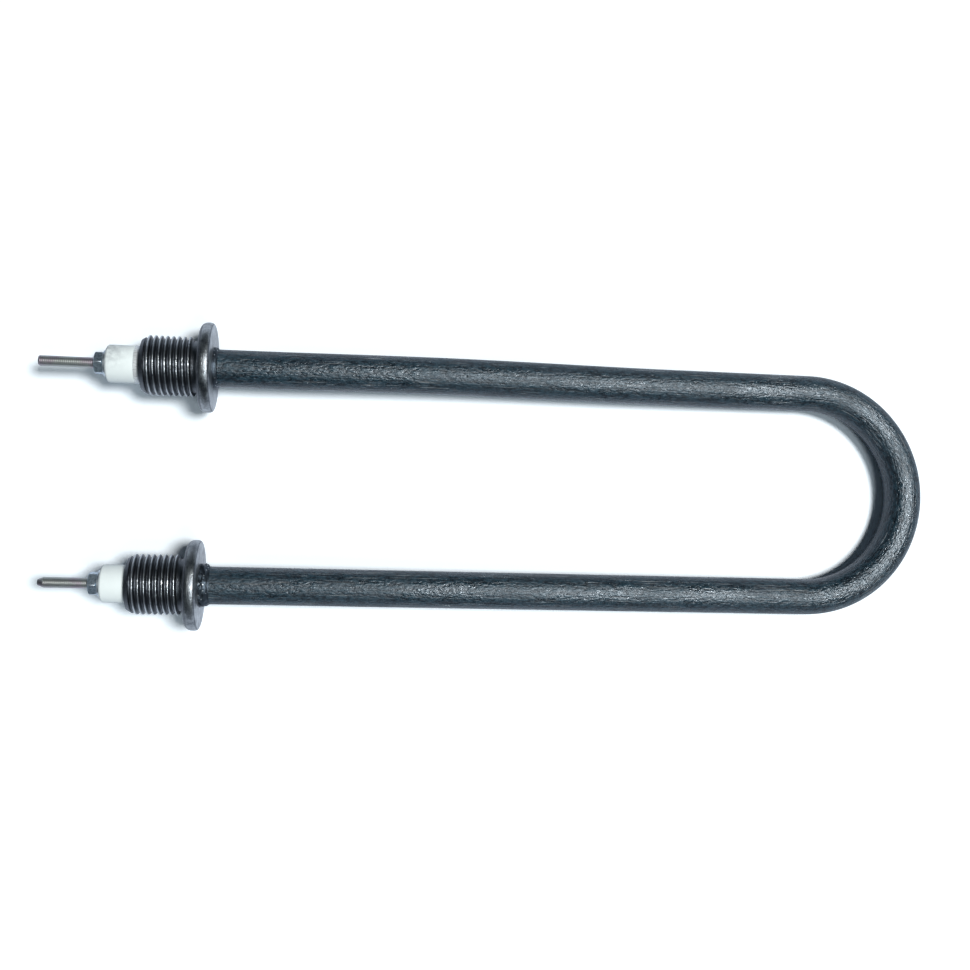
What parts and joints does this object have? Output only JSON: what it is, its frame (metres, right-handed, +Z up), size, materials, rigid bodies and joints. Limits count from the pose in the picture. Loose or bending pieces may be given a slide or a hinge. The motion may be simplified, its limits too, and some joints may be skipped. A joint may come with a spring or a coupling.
{
  "type": "tubular heating element",
  "caption": "Hairpin tubular heater: round steel sheath bent to a U, with a screwed flanged fitting, ceramic insulator, washer, nut and threaded rod on each end.",
  "frame": {"origin": "halfway between the middle lines of the two legs, in the plane of the right flange's seat", "axes": "+X along the legs from the terminals to the bend, +Y from the right leg to the left leg, +Z up, square to the plane of the hairpin"},
  "size_m": [0.245, 0.082, 0.024],
  "materials": {
    "sheath_steel": "satin",
    "fitting_steel": "satin",
    "weld_metal": "matte",
    "rod_steel": "satin",
    "zinc_plate": "satin",
    "white_ceramic": "matte",
    "magnesia_powder": "matte",
    "coil_wire": "satin",
    "seal_resin": "satin"
  },
  "bodies": {
    "root": {"sheath_tube": "sheath_steel", "magnesia_filling": "magnesia_powder", "magnesia_core": "magnesia_powder", "resistance_coil": "coil_wire", "left_contact_rod": "rod_steel", "left_end_seal": "seal_resin", "left_insulator": "white_ceramic", "left_washer": "zinc_plate", "left_nut": "zinc_plate", "left_threaded_fitting": "fitting_steel", "left_weld_bead": "weld_metal", "right_contact_rod": "rod_steel", "right_end_seal": "seal_resin", "right_insulator": "white_ceramic", "right_washer": "zinc_plate", "right_nut": "zinc_plate", "right_threaded_fitting": "fitting_steel", "right_weld_bead": "weld_metal"}
  },
  "joints": []
}
